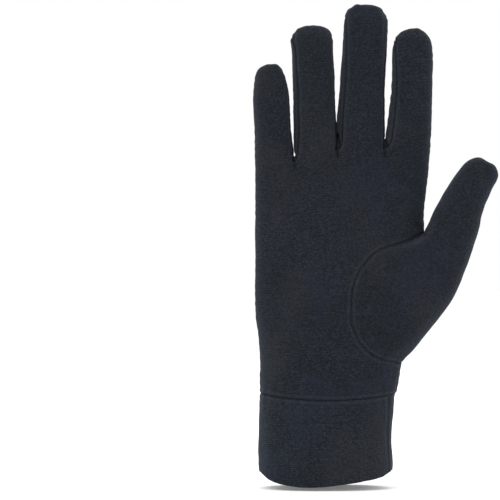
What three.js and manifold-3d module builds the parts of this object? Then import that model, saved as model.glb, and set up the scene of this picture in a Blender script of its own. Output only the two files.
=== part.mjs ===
// A thin knitted glove liner for the right hand, in millimetres, +Z up.
// The origin is the middle of the cuff's mouth. The fingers point up, the palm faces -Y
// and the thumb lies toward +X. The glove has the form that it has on a hand and is hollow.
import * as THREE from "three";
import { mergeVertices } from "three/addons/utils/BufferGeometryUtils.js";
import Module from "manifold-3d";

const wasm = await Module();
wasm.setup();

// Driving sizes, each one set by itself
const CUFF_LENGTH = 47; // mouth of the cuff to the seam at the hand
const PALM_LENGTH = 124; // that seam to the foot of the fingers
const FINGER_LENGTH = 79.5; // middle finger, from its foot to its tip
const THUMB_LENGTH = 117; // thumb, from its root inside the palm to its tip
const PALM_WIDTH = 88; // across the hand at the knuckles
const PALM_DEPTH = 30; // through the hand, palm to back
const CUFF_WIDTH = 68;
const CUFF_DEPTH = 43;
const FINGER_WIDTH = 22;
const FINGER_DEPTH = 17;
const THUMB_WIDTH = 24;
const THUMB_DEPTH = 21;
const FOURCHETTE_WIDTH = 9; // the strip between two fingers
const WALL = 1.2; // one layer of the knit
const CUFF_WALL = 2; // the cuff is a doubled layer
const SEAM_GAP = 0.3; // between two panels along a seam

// Smoothness of the sections
const HAND_SIDES = 36;
const FINGER_SIDES = 20;
const THUMB_SIDES = 24;
const DOME_STEPS = 4; // sections in a rounded fingertip
const SEAM_STEPS = 6; // straight stretches of the side seam along a finger

// How square the round sections are: 2 is an ellipse, more is squarer.
const FULLNESS = { cuff: 2.2, thumb: 2.25, finger: 2.3 };

// A rounded tip. power: 1 is a half circle, less is blunter. turn: how far round its last section lies,
// so that it keeps a small flat.
const TIP = { power: 0.5, turn: 0.97 };

// Lengths past the model that make a cut run right through it
const PAST = 2 * (PALM_WIDTH + PALM_DEPTH + CUFF_DEPTH);

const handFoot = CUFF_LENGTH;
const fingerFoot = handFoot + PALM_LENGTH;

// The hand from the cuff's seam to the fingers. up: share of PALM_LENGTH. left, right: edges as shares
// of PALM_WIDTH. depth: share of PALM_DEPTH. full: how square the section is. tilt: how much the thumb's
// side stands higher than the middle, dip: how much the palm's middle hangs lower, shares of PALM_LENGTH.
const HAND = [
  { up: 0.0, left: -0.381, right: 0.402, depth: 1.3, full: 2.2, tilt: 0.0, dip: 0.02 },
  { up: 0.06, left: -0.39, right: 0.424, depth: 1.27, full: 2.2, tilt: 0.0, dip: 0.014 },
  { up: 0.16, left: -0.394, right: 0.462, depth: 1.18, full: 2.2, tilt: 0.0, dip: 0.0 },
  { up: 0.28, left: -0.402, right: 0.528, depth: 1.1, full: 2.25, tilt: 0.0, dip: 0.0 },
  { up: 0.41, left: -0.41, right: 0.574, depth: 1.04, full: 2.3, tilt: 0.0, dip: 0.0 },
  { up: 0.55, left: -0.414, right: 0.582, depth: 1.0, full: 2.35, tilt: 0.0, dip: 0.0 },
  { up: 0.7, left: -0.418, right: 0.576, depth: 0.95, full: 2.4, tilt: 0.0, dip: 0.0 },
  { up: 0.84, left: -0.42, right: 0.586, depth: 0.86, full: 2.45, tilt: 0.01, dip: 0.0 },
  { up: 0.93, left: -0.418, right: 0.592, depth: 0.73, full: 2.5, tilt: 0.022, dip: 0.0 },
  { up: 1.0, left: -0.405, right: 0.582, depth: 0.54, full: 2.5, tilt: 0.03, dip: 0.0 },
];

// The fingers from little to index. long: share of FINGER_LENGTH. foot, tip: middles as shares of
// PALM_WIDTH. wide, narrow: widths at foot and tip as shares of FINGER_WIDTH. thick: share of FINGER_DEPTH.
const FINGERS = {
  little: { long: 0.616, foot: -0.305, tip: -0.326, wide: 0.9, narrow: 0.745, thick: 0.92 },
  ring: { long: 0.864, foot: -0.059, tip: -0.083, wide: 0.985, narrow: 0.92, thick: 1.0 },
  middle: { long: 1.0, foot: 0.205, tip: 0.235, wide: 1.06, narrow: 0.935, thick: 1.02 },
  index: { long: 0.843, foot: 0.474, tip: 0.509, wide: 0.985, narrow: 0.92, thick: 1.0 },
};

// One finger along its length. up: share from its foot to its tip. taper: how far its width and middle
// have gone from foot to tip. width, depth: shares of the width there and of its thickness.
const FINGER_STATIONS = [
  { up: -0.34, taper: 0.0, width: 0.9, depth: 1.0 },
  { up: -0.12, taper: 0.0, width: 0.985, depth: 1.1 },
  { up: 0.05, taper: 0.02, width: 1.0, depth: 1.1 },
  { up: 0.32, taper: 0.34, width: 1.0, depth: 1.03 },
  { up: 0.6, taper: 0.7, width: 1.0, depth: 0.97 },
  { up: 0.88, taper: 1.0, width: 1.0, depth: 0.88 },
];
const CURL = 0.05; // a fingertip's lean to the palm, share of FINGER_LENGTH

// A strip between two fingers. below: how far it reaches under their feet, share of PALM_LENGTH. stop: how
// far under a tip it ends, share of FINGER_DEPTH. lap: how far its two halves overlap, share of FINGER_WIDTH.
const FOURCHETTE = { below: 0.07, stop: 0.45, lap: 0.05 };

// The thumb from its root inside the palm. along: share of THUMB_LENGTH. lean: degrees from upright.
// width: share of THUMB_WIDTH. depth: share of THUMB_DEPTH. front: its middle in front of the hand's
// middle, share of PALM_DEPTH.
const THUMB = [
  { along: 0.0, lean: 31, width: 0.83, depth: 0.9, front: 0.04 },
  { along: 0.116, lean: 31, width: 1.16, depth: 1.14, front: 0.08 },
  { along: 0.292, lean: 33, width: 1.32, depth: 1.22, front: 0.16 },
  { along: 0.421, lean: 32, width: 1.32, depth: 1.18, front: 0.22 },
  { along: 0.57, lean: 29, width: 1.17, depth: 1.08, front: 0.27 },
  { along: 0.687, lean: 25, width: 1.03, depth: 1.0, front: 0.32 },
  { along: 0.81, lean: 23, width: 0.9, depth: 0.95, front: 0.34 },
  { along: 0.91, lean: 25, width: 0.83, depth: 0.86, front: 0.36 },
];
const THUMB_ROOT = { across: 0.307, up: 0.17 }; // shares of PALM_WIDTH and PALM_LENGTH

// The thumb's seam on the palm, from the thumb's fork round to the foot of the thumb.
// across: share of PALM_WIDTH. up: share of PALM_LENGTH.
const THUMB_SEAM = [
  { across: 0.65, up: 0.87 },
  { across: 0.597, up: 0.81 },
  { across: 0.588, up: 0.73 },
  { across: 0.555, up: 0.685 },
  { across: 0.45, up: 0.65 },
  { across: 0.375, up: 0.634 },
  { across: 0.29, up: 0.606 },
  { across: 0.225, up: 0.568 },
  { across: 0.178, up: 0.515 },
  { across: 0.15, up: 0.44 },
  { across: 0.145, up: 0.36 },
  { across: 0.162, up: 0.285 },
  { across: 0.205, up: 0.22 },
  { across: 0.28, up: 0.175 },
  { across: 0.36, up: 0.155 },
  { across: 0.5, up: 0.135 },
];

// The edge of the hand's back over the thumb, from the fork down. Columns as above.
const BACK_EDGE = [
  { across: 0.65, up: 0.87 },
  { across: 0.597, up: 0.81 },
  { across: 0.588, up: 0.73 },
  { across: 0.56, up: 0.66 },
  { across: 0.545, up: 0.6 },
  { across: 0.535, up: 0.5 },
  { across: 0.52, up: 0.4 },
  { across: 0.485, up: 0.3 },
  { across: 0.43, up: 0.2 },
  { across: 0.39, up: 0.145 },
  { across: 0.5, up: 0.13 },
];

// The cuff from its hem to the seam. up: share of CUFF_LENGTH. width, depth: shares of CUFF_WIDTH and
// CUFF_DEPTH. rise: how much its two sides stand higher than the palm's middle, and backRise: than the
// middle of the back, shares of CUFF_LENGTH. shift: toward the thumb, share of CUFF_WIDTH.
const CUFF = [
  { up: 0.0, width: 0.985, depth: 1.0, rise: 0.15, backRise: 0.11, shift: 0.0 },
  { up: 0.18, width: 1.0, depth: 1.0, rise: 0.07, backRise: 0.05, shift: 0.001 },
  { up: 0.45, width: 0.995, depth: 0.97, rise: 0.0, backRise: 0.0, shift: 0.003 },
  { up: 0.75, width: 1.0, depth: 0.94, rise: 0.0, backRise: 0.0, shift: 0.006 },
];

const between = (from, to, share) => from + (to - from) * share;

// A closed skin through sections, each one a squared ellipse. A section has its middle x, y, z, its lean
// in degrees, its half sizes, its fullness, and how far its front, back and thumb side stand higher.
function skin(sections, sides) {
  const rows = sections.length - 1;
  const geometry = new THREE.CylinderGeometry(1, 1, rows, sides, rows);
  const points = geometry.attributes.position;
  for (let i = 0; i < points.count; i += 1) {
    const section = sections[Math.round(points.getY(i) + rows / 2)];
    const side = points.getX(i);
    const front = points.getZ(i);
    const power = 2 / section.full;
    const across = Math.sign(side) * Math.abs(side) ** power * section.halfWidth;
    const ahead = Math.sign(front) * Math.abs(front) ** power * section.halfDepth;
    const lean = THREE.MathUtils.degToRad(section.lean ?? 0);
    const rimRise = front > 0 ? section.frontRise ?? 0 : section.backRise ?? 0;
    const rise = rimRise * (front === 0 ? 0 : 1 - side ** 4) + (section.sideRise ?? 0) * side;
    points.setXYZ(
      i,
      section.x + across * Math.cos(lean),
      section.y - ahead,
      section.z - across * Math.sin(lean) + rise,
    );
  }
  return solidOf(geometry);
}

// A closed three.js geometry as a solid that can be joined and cut.
function solidOf(geometry) {
  geometry.deleteAttribute("normal");
  geometry.deleteAttribute("uv");
  const merged = mergeVertices(geometry, 1e-4);
  return new wasm.Manifold(
    new wasm.Mesh({
      numProp: 3,
      vertProperties: new Float32Array(merged.attributes.position.array),
      triVerts: new Uint32Array(merged.index.array),
    }),
  );
}

const joined = (solids) => solids.reduce((whole, solid) => whole.add(solid));

// The sections of a rounded tip, from the last full section to the tip.
function domeSections(last, length) {
  const dome = [];
  for (let step = 1; step <= DOME_STEPS; step += 1) {
    const turn = (step / DOME_STEPS) * (Math.PI / 2) * TIP.turn;
    const share = Math.cos(turn) ** TIP.power;
    const lean = THREE.MathUtils.degToRad(last.lean ?? 0);
    dome.push({
      ...last,
      x: last.x + Math.sin(turn) * length * Math.sin(lean),
      z: last.z + Math.sin(turn) * length * Math.cos(lean),
      halfWidth: last.halfWidth * share,
      halfDepth: last.halfDepth * share,
    });
  }
  return dome;
}

// The hand's skin, set in by a wall. An inner skin also runs on below the seam so that the hand is open.
function handSkin(inset) {
  const sections = HAND.map((row, index) => ({
    x: (PALM_WIDTH * (row.left + row.right)) / 2,
    y: 0,
    z: handFoot + PALM_LENGTH * row.up - (index === HAND.length - 1 ? inset : 0),
    halfWidth: (PALM_WIDTH * (row.right - row.left)) / 2 - inset,
    halfDepth: (PALM_DEPTH * row.depth) / 2 - inset,
    full: row.full,
    frontRise: -PALM_LENGTH * row.dip,
    backRise: -PALM_LENGTH * row.dip,
    sideRise: PALM_LENGTH * row.tilt,
  }));
  if (inset > 0) {
    sections.unshift({ ...sections[0], z: handFoot - CUFF_LENGTH / 4 });
  }
  return skin(sections, HAND_SIDES);
}

// How far the middle of a finger leans to the palm at a height.
function curlAt(height) {
  const share = Math.max(0, (height - fingerFoot) / FINGER_LENGTH);
  return -CURL * FINGER_LENGTH * share ** 2;
}

const fingerTip = (finger) => fingerFoot + FINGER_LENGTH * finger.long;

// The middle of a finger across the hand, from its foot (0) to where its tip begins (1).
const fingerMiddle = (finger, taper) => PALM_WIDTH * between(finger.foot, finger.tip, taper);

function fingerSkin(finger, inset) {
  const long = FINGER_LENGTH * finger.long;
  const sections = FINGER_STATIONS.map((row) => {
    const height = fingerFoot + long * row.up;
    const width = FINGER_WIDTH * row.width * between(finger.wide, finger.narrow, row.taper);
    return {
      x: fingerMiddle(finger, row.taper),
      y: curlAt(height),
      z: height,
      halfWidth: width / 2 - inset,
      halfDepth: (FINGER_DEPTH * finger.thick * row.depth) / 2 - inset,
      full: FULLNESS.finger,
    };
  });
  const last = sections[sections.length - 1];
  sections.push(...domeSections(last, fingerTip(finger) - last.z - inset));
  return skin(sections, FINGER_SIDES);
}

function thumbSkin(inset) {
  const middle = {
    x: PALM_WIDTH * THUMB_ROOT.across,
    z: handFoot + PALM_LENGTH * THUMB_ROOT.up,
  };
  let along = 0;
  const sections = THUMB.map((row) => {
    const lean = THREE.MathUtils.degToRad(row.lean);
    const step = THUMB_LENGTH * (row.along - along);
    along = row.along;
    middle.x += step * Math.sin(lean);
    middle.z += step * Math.cos(lean);
    return {
      x: middle.x,
      y: -PALM_DEPTH * row.front,
      z: middle.z,
      lean: row.lean,
      halfWidth: (THUMB_WIDTH * row.width) / 2 - inset,
      halfDepth: (THUMB_DEPTH * row.depth) / 2 - inset,
      full: FULLNESS.thumb,
    };
  });
  const last = sections[sections.length - 1];
  sections.push(...domeSections(last, THUMB_LENGTH * (1 - along) - inset));
  return skin(sections, THUMB_SIDES);
}

// All that the hand, fingers and thumb fill, set in by a wall.
function filledHand(inset) {
  const fingers = Object.values(FINGERS).map((finger) => fingerSkin(finger, inset));
  return joined([handSkin(inset), thumbSkin(inset), ...fingers]);
}

// An outline moved outward by a distance, or inward where it is negative.
function movedOutline(points, distance) {
  const turning = THREE.ShapeUtils.area(points) > 0 ? 1 : -1;
  return points.map((point, i) => {
    const before = points[(i + points.length - 1) % points.length];
    const after = points[(i + 1) % points.length];
    const into = point.clone().sub(before).normalize();
    const out = after.clone().sub(point).normalize();
    const along = into.clone().add(out).normalize();
    const normal = new THREE.Vector2(along.y, -along.x).multiplyScalar(turning);
    const stretch = Math.max(0.5, normal.dot(new THREE.Vector2(into.y, -into.x)) * turning);
    return point.clone().addScaledVector(normal, distance / stretch);
  });
}

// A block with an outline seen from the front (x, z), reaching from one depth to another.
function frontBlock(points, from, to) {
  const geometry = new THREE.ExtrudeGeometry(new THREE.Shape(points), {
    depth: to - from,
    bevelEnabled: false,
  });
  geometry.rotateX(Math.PI / 2);
  geometry.translate(0, to, 0);
  return solidOf(geometry);
}

// A block with an outline seen from the side (y, z), reaching from one place across the hand to another.
function sideBlock(points, from, to) {
  const geometry = new THREE.ExtrudeGeometry(new THREE.Shape(points), {
    depth: to - from,
    bevelEnabled: false,
  });
  geometry.rotateX(Math.PI / 2);
  geometry.rotateZ(Math.PI / 2);
  geometry.translate(from, 0, 0);
  return solidOf(geometry);
}

const handPoint = (row) =>
  new THREE.Vector2(PALM_WIDTH * row.across, handFoot + PALM_LENGTH * row.up);

// The region that belongs to the thumb: inside its seam on the palm's side of the hand, and past the
// edge of the hand's back at any depth.
function thumbRegion(grow) {
  const far = PALM_WIDTH / 2 + THUMB_LENGTH;
  const closing = [
    new THREE.Vector2(far, handPoint(THUMB_SEAM[THUMB_SEAM.length - 1]).y),
    new THREE.Vector2(far, fingerFoot + FINGER_LENGTH),
    new THREE.Vector2(handPoint(THUMB_SEAM[0]).x, fingerFoot + FINGER_LENGTH),
  ];
  const palmSide = movedOutline([...THUMB_SEAM.map(handPoint), ...closing], grow);
  const backSide = movedOutline([...BACK_EDGE.map(handPoint), ...closing], grow);
  return frontBlock(palmSide, -PAST, grow).add(frontBlock(backSide, -PAST, PAST));
}

// The seam between palm and back, seen from the side: upright in the hand, and leaning with the fingers.
function seamLine() {
  const line = [new THREE.Vector2(0, handFoot - CUFF_LENGTH)];
  for (let step = 0; step <= SEAM_STEPS; step += 1) {
    const height = fingerFoot + (FINGER_LENGTH * step) / SEAM_STEPS;
    line.push(new THREE.Vector2(curlAt(height), height));
  }
  const end = line[line.length - 1];
  line.push(new THREE.Vector2(end.x, end.y + PALM_LENGTH));
  return line;
}

// Everything in front of the seam between palm and back (side -1) or behind it (side 1).
function halfRegion(side) {
  const line = seamLine().map((point) => new THREE.Vector2(point.x + (side * SEAM_GAP) / 2, point.y));
  const top = line[line.length - 1].y;
  const outer = [new THREE.Vector2(side * PAST, top), new THREE.Vector2(side * PAST, line[0].y)];
  return sideBlock([...line, ...outer], -PAST, PAST);
}

// The strip between two fingers. It follows their facing sides up to a stop below each tip.
function fourchetteRegion(left, right, grow) {
  const half = FOURCHETTE_WIDTH / 2 + grow;
  const tipStop = FINGER_DEPTH * FOURCHETTE.stop;
  const foot = fingerFoot - PALM_LENGTH * FOURCHETTE.below - grow;
  const leftMiddle = fingerMiddle(left, 0.5);
  const rightMiddle = fingerMiddle(right, 0.5);
  const fork = (leftMiddle + rightMiddle) / 2;
  const strip = (from, to, stop) => {
    const line = seamLine().filter((point) => point.y > foot && point.y < stop);
    line.unshift(new THREE.Vector2(0, foot));
    line.push(new THREE.Vector2(curlAt(stop), stop));
    const front = line.map((point) => new THREE.Vector2(point.x - half, point.y));
    const back = line.map((point) => new THREE.Vector2(point.x + half, point.y));
    return sideBlock([...front, ...back.reverse()], from, to);
  };
  const lap = FINGER_WIDTH * FOURCHETTE.lap;
  return strip(leftMiddle - grow, fork + lap, fingerTip(left) - tipStop + grow).add(
    strip(fork - lap, rightMiddle + grow, fingerTip(right) - tipStop + grow),
  );
}

// The cuff: a doubled band, open at both ends, that meets the hand's first section.
function cuffSkin(inset) {
  const top = HAND[0];
  const sections = CUFF.map((row) => ({
    x: CUFF_WIDTH * row.shift,
    y: 0,
    z: CUFF_LENGTH * (row.up + row.rise),
    halfWidth: (CUFF_WIDTH * row.width) / 2 - inset,
    halfDepth: (CUFF_DEPTH * row.depth) / 2 - inset,
    full: FULLNESS.cuff,
    frontRise: -CUFF_LENGTH * row.rise,
    backRise: -CUFF_LENGTH * row.backRise,
  }));
  sections.push({
    x: (PALM_WIDTH * (top.left + top.right)) / 2,
    y: 0,
    z: handFoot - SEAM_GAP,
    halfWidth: (PALM_WIDTH * (top.right - top.left)) / 2 - inset,
    halfDepth: (PALM_DEPTH * top.depth) / 2 - inset,
    full: top.full,
    frontRise: -PALM_LENGTH * top.dip,
    backRise: -PALM_LENGTH * top.dip,
  });
  if (inset > 0) {
    sections.unshift({ ...sections[0], z: sections[0].z - CUFF_WALL });
    sections.push({ ...sections[sections.length - 1], z: handFoot + CUFF_WALL });
  }
  return skin(sections, HAND_SIDES);
}

// Materials
function knit(color) {
  return new THREE.MeshStandardMaterial({ color, roughness: 0.92, metalness: 0 });
}

// A solid as a named mesh.
function piece(name, solid, color) {
  const cut = solid.getMesh();
  const geometry = new THREE.BufferGeometry();
  geometry.setAttribute("position", new THREE.BufferAttribute(cut.vertProperties, cut.numProp));
  geometry.setIndex(new THREE.BufferAttribute(cut.triVerts, 1));
  geometry.computeVertexNormals();
  const mesh = new THREE.Mesh(geometry, knit(color));
  mesh.name = name;
  return mesh;
}

const half = SEAM_GAP / 2;
const shell = filledHand(0).subtract(filledHand(WALL));
const forks = [
  ["fourchette_ring_little", FINGERS.little, FINGERS.ring],
  ["fourchette_middle_ring", FINGERS.ring, FINGERS.middle],
  ["fourchette_index_middle", FINGERS.middle, FINGERS.index],
];
const stripRegions = joined(forks.map(([, left, right]) => fourchetteRegion(left, right, half)));
const trank = shell.subtract(thumbRegion(half)).subtract(stripRegions);

const glove = new THREE.Group();
glove.add(piece("palm_panel", trank.intersect(halfRegion(-1)), 0x2a2e34));
glove.add(piece("back_panel", trank.intersect(halfRegion(1)), 0x2c3037));
glove.add(piece("thumb_panel", shell.intersect(thumbRegion(-half)), 0x292d33));
forks.forEach(([name, left, right]) => {
  glove.add(piece(name, shell.intersect(fourchetteRegion(left, right, -half)), 0x25292f));
});
glove.add(piece("cuff", cuffSkin(0).subtract(cuffSkin(CUFF_WALL)), 0x2b2f35));

export default glove;
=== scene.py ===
import math

import bmesh
import bpy
import numpy as np
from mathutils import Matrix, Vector, kdtree, noise


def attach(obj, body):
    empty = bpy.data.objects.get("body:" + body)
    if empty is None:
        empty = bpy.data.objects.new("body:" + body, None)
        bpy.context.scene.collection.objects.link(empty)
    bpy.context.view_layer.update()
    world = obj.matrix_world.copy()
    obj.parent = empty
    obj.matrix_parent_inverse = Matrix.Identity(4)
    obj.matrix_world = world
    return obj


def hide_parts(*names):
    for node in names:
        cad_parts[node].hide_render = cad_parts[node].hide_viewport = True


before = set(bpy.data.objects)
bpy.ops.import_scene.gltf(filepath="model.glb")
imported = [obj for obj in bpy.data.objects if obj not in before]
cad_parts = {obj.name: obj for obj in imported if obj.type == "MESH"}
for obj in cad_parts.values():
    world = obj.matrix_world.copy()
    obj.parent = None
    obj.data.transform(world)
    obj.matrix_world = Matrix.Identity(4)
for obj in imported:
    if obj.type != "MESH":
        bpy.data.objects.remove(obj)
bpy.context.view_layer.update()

# The liner's own frame is the CAD frame: the mouth of the cuff at z = 0, the palm facing -Y,
# the thumb toward +X. Lengths in the tables are millimetres.
MM = 0.001

# The block that the glove is drawn from: columns across the hand, layers from palm to back, and rows up.
COLUMNS = 11
LAYERS = 4
CUFF_ROWS = (0.03, 0.09, 0.2, 0.38, 0.58, 0.78, 0.92, 1.0)  # share of the way from seam to hem
HAND_ROWS = 15
FINGER_ROWS = (0.05, 0.14, 0.27, 0.41, 0.55, 0.69, 0.81, 0.91, 0.975)  # share of a finger's length
STEP = 0.01  # size of a column, layer or row of the block, in metres
HAIR = 0.1  # a difference in steps that doesn't count

# Rows of the hand where the thumb's seam starts and ends, and the column where it turns.
THUMB_LOW = 4
THUMB_HIGH = 9
THUMB_COLUMN = 7
# How the rows below and above the thumb's seam are spread, as shares of the way.
LOW_ROWS = (0, 0.07, 0.26, 0.6, 1)
HIGH_ROWS = (0.18, 0.37, 0.56, 0.74, 0.89, 1)
# Heights at the little finger's side, of those two rows and of the fingers' feet, with the rise of the feet.
SEAM_ROWS = {THUMB_LOW: 79.0, THUMB_HIGH: 112.0}
FEET = (165.6, 10)

# Outline of the hand and of the cuff: height, left edge, right edge, depth to the palm, depth to the back.
HAND_OUTLINE = np.array([
    (46.0, -33.7, 35.3, 19.6, 19.6),
    (50.0, -34.0, 36.4, 20.0, 19.9),
    (56.0, -34.2, 37.7, 19.4, 19.2),
    (64.0, -34.4, 39.2, 18.2, 18.0),
    (72.0, -34.4, 43.4, 17.3, 17.0),
    (82.0, -35.8, 48.9, 16.6, 16.2),
    (94.0, -37.0, 52.0, 16.1, 15.7),
    (108.0, -36.9, 52.7, 15.7, 15.2),
    (122.0, -36.7, 52.0, 15.2, 14.7),
    (134.0, -36.8, 50.5, 14.6, 14.0),
    (146.0, -36.5, 50.3, 13.7, 13.0),
    (158.0, -36.4, 51.2, 12.3, 11.6),
    (167.0, -36.7, 52.4, 10.7, 10.3),
    (176.0, -37.0, 53.5, 9.3, 9.3),
])
CUFF_OUTLINE = np.array([
    (0.0, -34.6, 34.8, 21.2, 21.0),
    (9.0, -35.1, 34.8, 21.4, 21.2),
    (19.0, -35.0, 34.1, 21.0, 20.8),
    (30.0, -34.9, 34.6, 20.4, 20.3),
    (40.0, -34.6, 35.3, 19.9, 19.8),
    (49.0, -33.9, 35.4, 19.5, 19.4),
])
CUFF_SEAM = (49.0, 3.0, 2.5)  # height at the sides, and how much lower it runs at the palm and at the back
HAND_EDGE = 0.9  # share of the half width at which the outer columns of the hand stand
CUFF_EDGE = 0.93  # the most that this share may be on the cuff
# Height of the hem across the cuff, from the little finger's side to the thumb's side.
HEM_AT = (-1.0, -0.93, -0.82, -0.66, -0.4, -0.13, 0.18, 0.48, 0.76, 0.9, 1.0)
HEM_PALM = (8.0, 5.8, 4.1, 2.3, 1.4, 1.4, 2.6, 4.0, 5.5, 7.4, 9.0)
HEM_BACK = (8.0, 6.2, 4.2, 2.2, 0.4, 0.0, 0.3, 1.1, 3.0, 5.8, 9.0)
HEM_TOP = 9.5  # just above the highest point of the hem

# Edges of the fingers: height, left, right.
FINGERS = ("little", "ring", "middle", "index")
FINGER_EDGES = {
    "little": np.array([
        (166, -36.9, -16.4), (173, -37.0, -16.65), (180, -37.2, -17.75), (192, -37.3, -18.9),
        (203, -37.7, -19.3), (213, -37.3, -21.1), (220, -36.9, -22.8),
    ]),
    "ring": np.array([
        (168, -16.2, 5.75), (173, -16.58, 5.95), (187, -16.7, 5.9), (192, -16.8, 5.2),
        (203, -16.7, 4.5), (220, -17.5, 4.0), (232, -18.0, 3.4),
    ]),
    "middle": np.array([
        (170, 6.1, 30.15), (180, 5.55, 30.1), (187, 5.45, 30.15), (192, 5.5, 30.2),
        (203, 6.9, 30.4), (220, 8.0, 31.2), (236, 8.9, 31.7), (246, 9.6, 31.4),
    ]),
    "index": np.array([
        (172, 30.45, 53.6), (177, 30.75, 54.0), (181, 31.4, 54.3), (192, 32.65, 55.0),
        (203, 33.8, 55.4), (220, 34.4, 55.3), (230, 34.6, 54.9), (238.2, 35.7, 53.4),
    ]),
}
FINGER_TIPS = {"little": 219.9, "ring": 239.9, "middle": 250.5, "index": 238.2}
# How long the closing part of each finger is, and how far its tip stands to the thumb's side.
TIP_SHAPES = {"little": (9.5, 0.9), "ring": (8.0, 0.2), "middle": (8.0, -0.5), "index": (11.5, 0.3)}
TIP_CURVE = (2.6, 0.45)  # powers of the curve that closes a fingertip
# On top of a fingertip: how much of its depth the points take up, and how far edge and middle lie below the tip.
TIP_TOP = (0.9, 0.35, 0.1)
# Half the depth of each finger at its foot and at its tip.
FINGER_DEPTHS = {"little": (8.3, 6.9), "ring": (9.1, 7.5), "middle": (9.3, 7.6), "index": (9.2, 7.5)}
CURL = (4.2, 80, 1.8)  # how far a fingertip leans to the palm, on a finger of what length, and the lean's power
# Half the turn that a fourchette takes of a finger's section, in degrees: at its foot and at its narrow end.
FOURCHETTE_ANGLE = 30
END_ANGLE = 12
NARROWING = (2.4, 1.2, 1.4)  # rate, start and power of its narrowing along the finger
FOURCHETTE_END = 0.94  # share of a finger past which its sides are plain
ROLL = 13  # how far the fingers roll, in degrees, which brings each left-hand fourchette toward the palm
OUTER_ROLL = 4  # the same at the feet and on the outer sides
ROLL_SHARE = 0.18  # share of a finger in which the roll becomes full
SQUARENESS = 2.3  # power of the rounded sections: 2 is an ellipse, and more is squarer
WEB_RISE = {2: 4.5, 5: 12.0, 8: 7.5}  # how far the cloth between two fingers stands above its edges, by column
WEB_SIDE = 0.45  # share of that beside the middle
WEB_FADE = (0.32, 1.3)  # share of the finger over which it fades, and the fading's power
# How strongly the corners beside a fork are drawn together, by row, and to where, across and out.
FORK_PULL = {HAND_ROWS - 2: 0.2, HAND_ROWS - 1: 0.5, HAND_ROWS: 1.0, HAND_ROWS + 1: 0.3}
FORK_CORNER = (0.93, 0.84)

# The thumb's seam on the palm: column and row, then its place across and up.
THUMB_SEAM = {
    (11, 9): (48.9, 131.6), (10, 9): (40.6, 127.6), (9, 9): (31.4, 124.9), (8, 9): (23.2, 120.6),
    (7, 9): (16.8, 113.2), (7, 8): (13.8, 105.6), (7, 7): (12.7, 98.0), (7, 6): (12.4, 90.6),
    (7, 5): (13.2, 83.4), (7, 4): (16.0, 76.6), (8, 4): (20.8, 71.2), (9, 4): (26.6, 67.8),
    (10, 4): (32.6, 66.0), (11, 4): (37.6, 64.8),
}
SEAM_SPREAD = (1.0, 0.55, 0.25, 0.1)  # how far the rows beside the thumb's seam follow it
# Depth of the edge of the back, row by row from the cuff's seam to the finger's foot.
BACK_EDGE = (9.5, 8.4, 7.2, 6.1, 5.0, 5.6, 6.0, 5.9, 5.3, 4.2, 4.8, 5.4, 5.8, 6.1, 6.3, 6.6)

# Rings of the thumb from its seam to its tip: inner edge, outer edge, depths of its front, back and edges,
# and how much of the seam's own shape is left in it.
THUMB_RINGS = (
    ((50.4, 131.8), (44.3, 70.3), -16.6, 6.3, -0.8, 0.72),
    ((50.8, 132.4), (51.9, 79.5), -17.9, 6.6, -2.2, 0.47),
    ((51.5, 134.0), (59.8, 89.7), -18.9, 5.6, -4.4, 0.27),
    ((52.6, 136.8), (67.0, 101.2), -19.3, 4.4, -6.4, 0.13),
    ((54.1, 140.0), (73.4, 117.0), -19.8, 3.0, -8.2, 0.04),
    ((55.7, 143.4), (78.4, 132.0), -20.1, 1.6, -9.3, 0.0),
    ((59.3, 150.3), (79.9, 138.8), -20.1, 0.6, -9.7, 0.0),
    ((63.1, 156.8), (81.8, 145.6), -20.0, 0.0, -10.0, 0.0),
    ((66.2, 161.8), (84.2, 151.2), -19.9, -0.7, -10.2, 0.0),
    ((69.4, 166.0), (86.5, 156.2), -19.7, -1.3, -10.4, 0.0),
    ((73.1, 169.4), (88.8, 161.5), -18.7, -2.3, -10.5, 0.0),
)
THUMB_ROOT = ((50.5, 132.6), (39.0, 64.7), -15.5, 5.4, -0.4)  # the ring that stands for the seam itself
THUMB_TIP = (4.0, 3.5)  # how far the tip stands past the last ring, and how blunt it is
# Angles on the thumb at some of the corners around its seam, counted from the fork over the palm.
THUMB_ANGLES = {0: 0, 2: 35, 15: 145, 17: 180, 19: 215, 24: 325, 26: 360}


def between(low, high, share):
    """The value at a share of the way from low to high."""
    return low + (high - low) * share


def eased(share):
    """A share held between 0 and 1, with a slow start and end."""
    share = min(1.0, max(0.0, share))
    return share * share * (3 - 2 * share)


def bell(away, width):
    """A smooth hump of height 1."""
    return math.exp(-((away / width) ** 2))


def rounded(value):
    """A sine or cosine, moved outward to the squarer sections of the glove."""
    return math.copysign(abs(value) ** (2 / SQUARENESS), value)


def superellipse(share):
    """Height of a rounded section of half size 1 at a share of its half width."""
    return (1 - min(1.0, abs(share)) ** SQUARENESS) ** (1 / SQUARENESS)


def read_row(table, height):
    """A table's columns at a height, by straight lines between its rows."""
    return [float(np.interp(height, table[:, 0], table[:, c])) for c in range(1, table.shape[1])]


def start_edit(piece):
    """Opens a piece alone in edit mode, with all of it selected."""
    bpy.ops.object.select_all(action="DESELECT")
    piece.select_set(True)
    bpy.context.view_layer.objects.active = piece
    bpy.ops.object.mode_set(mode="EDIT")
    bpy.ops.mesh.select_all(action="SELECT")


def select_faces(piece, wanted):
    """In edit mode, selects the faces whose middle, in block steps, is wanted."""
    mesh = bmesh.from_edit_mesh(piece.data)
    rings = mesh.verts.layers.int["ring"]
    for face in mesh.faces:
        middle = face.calc_center_median() / STEP
        face.select = wanted(middle, max(v[rings] for v in face.verts))
    mesh.select_flush_mode()
    bmesh.update_edit_mesh(piece.data)


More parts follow.
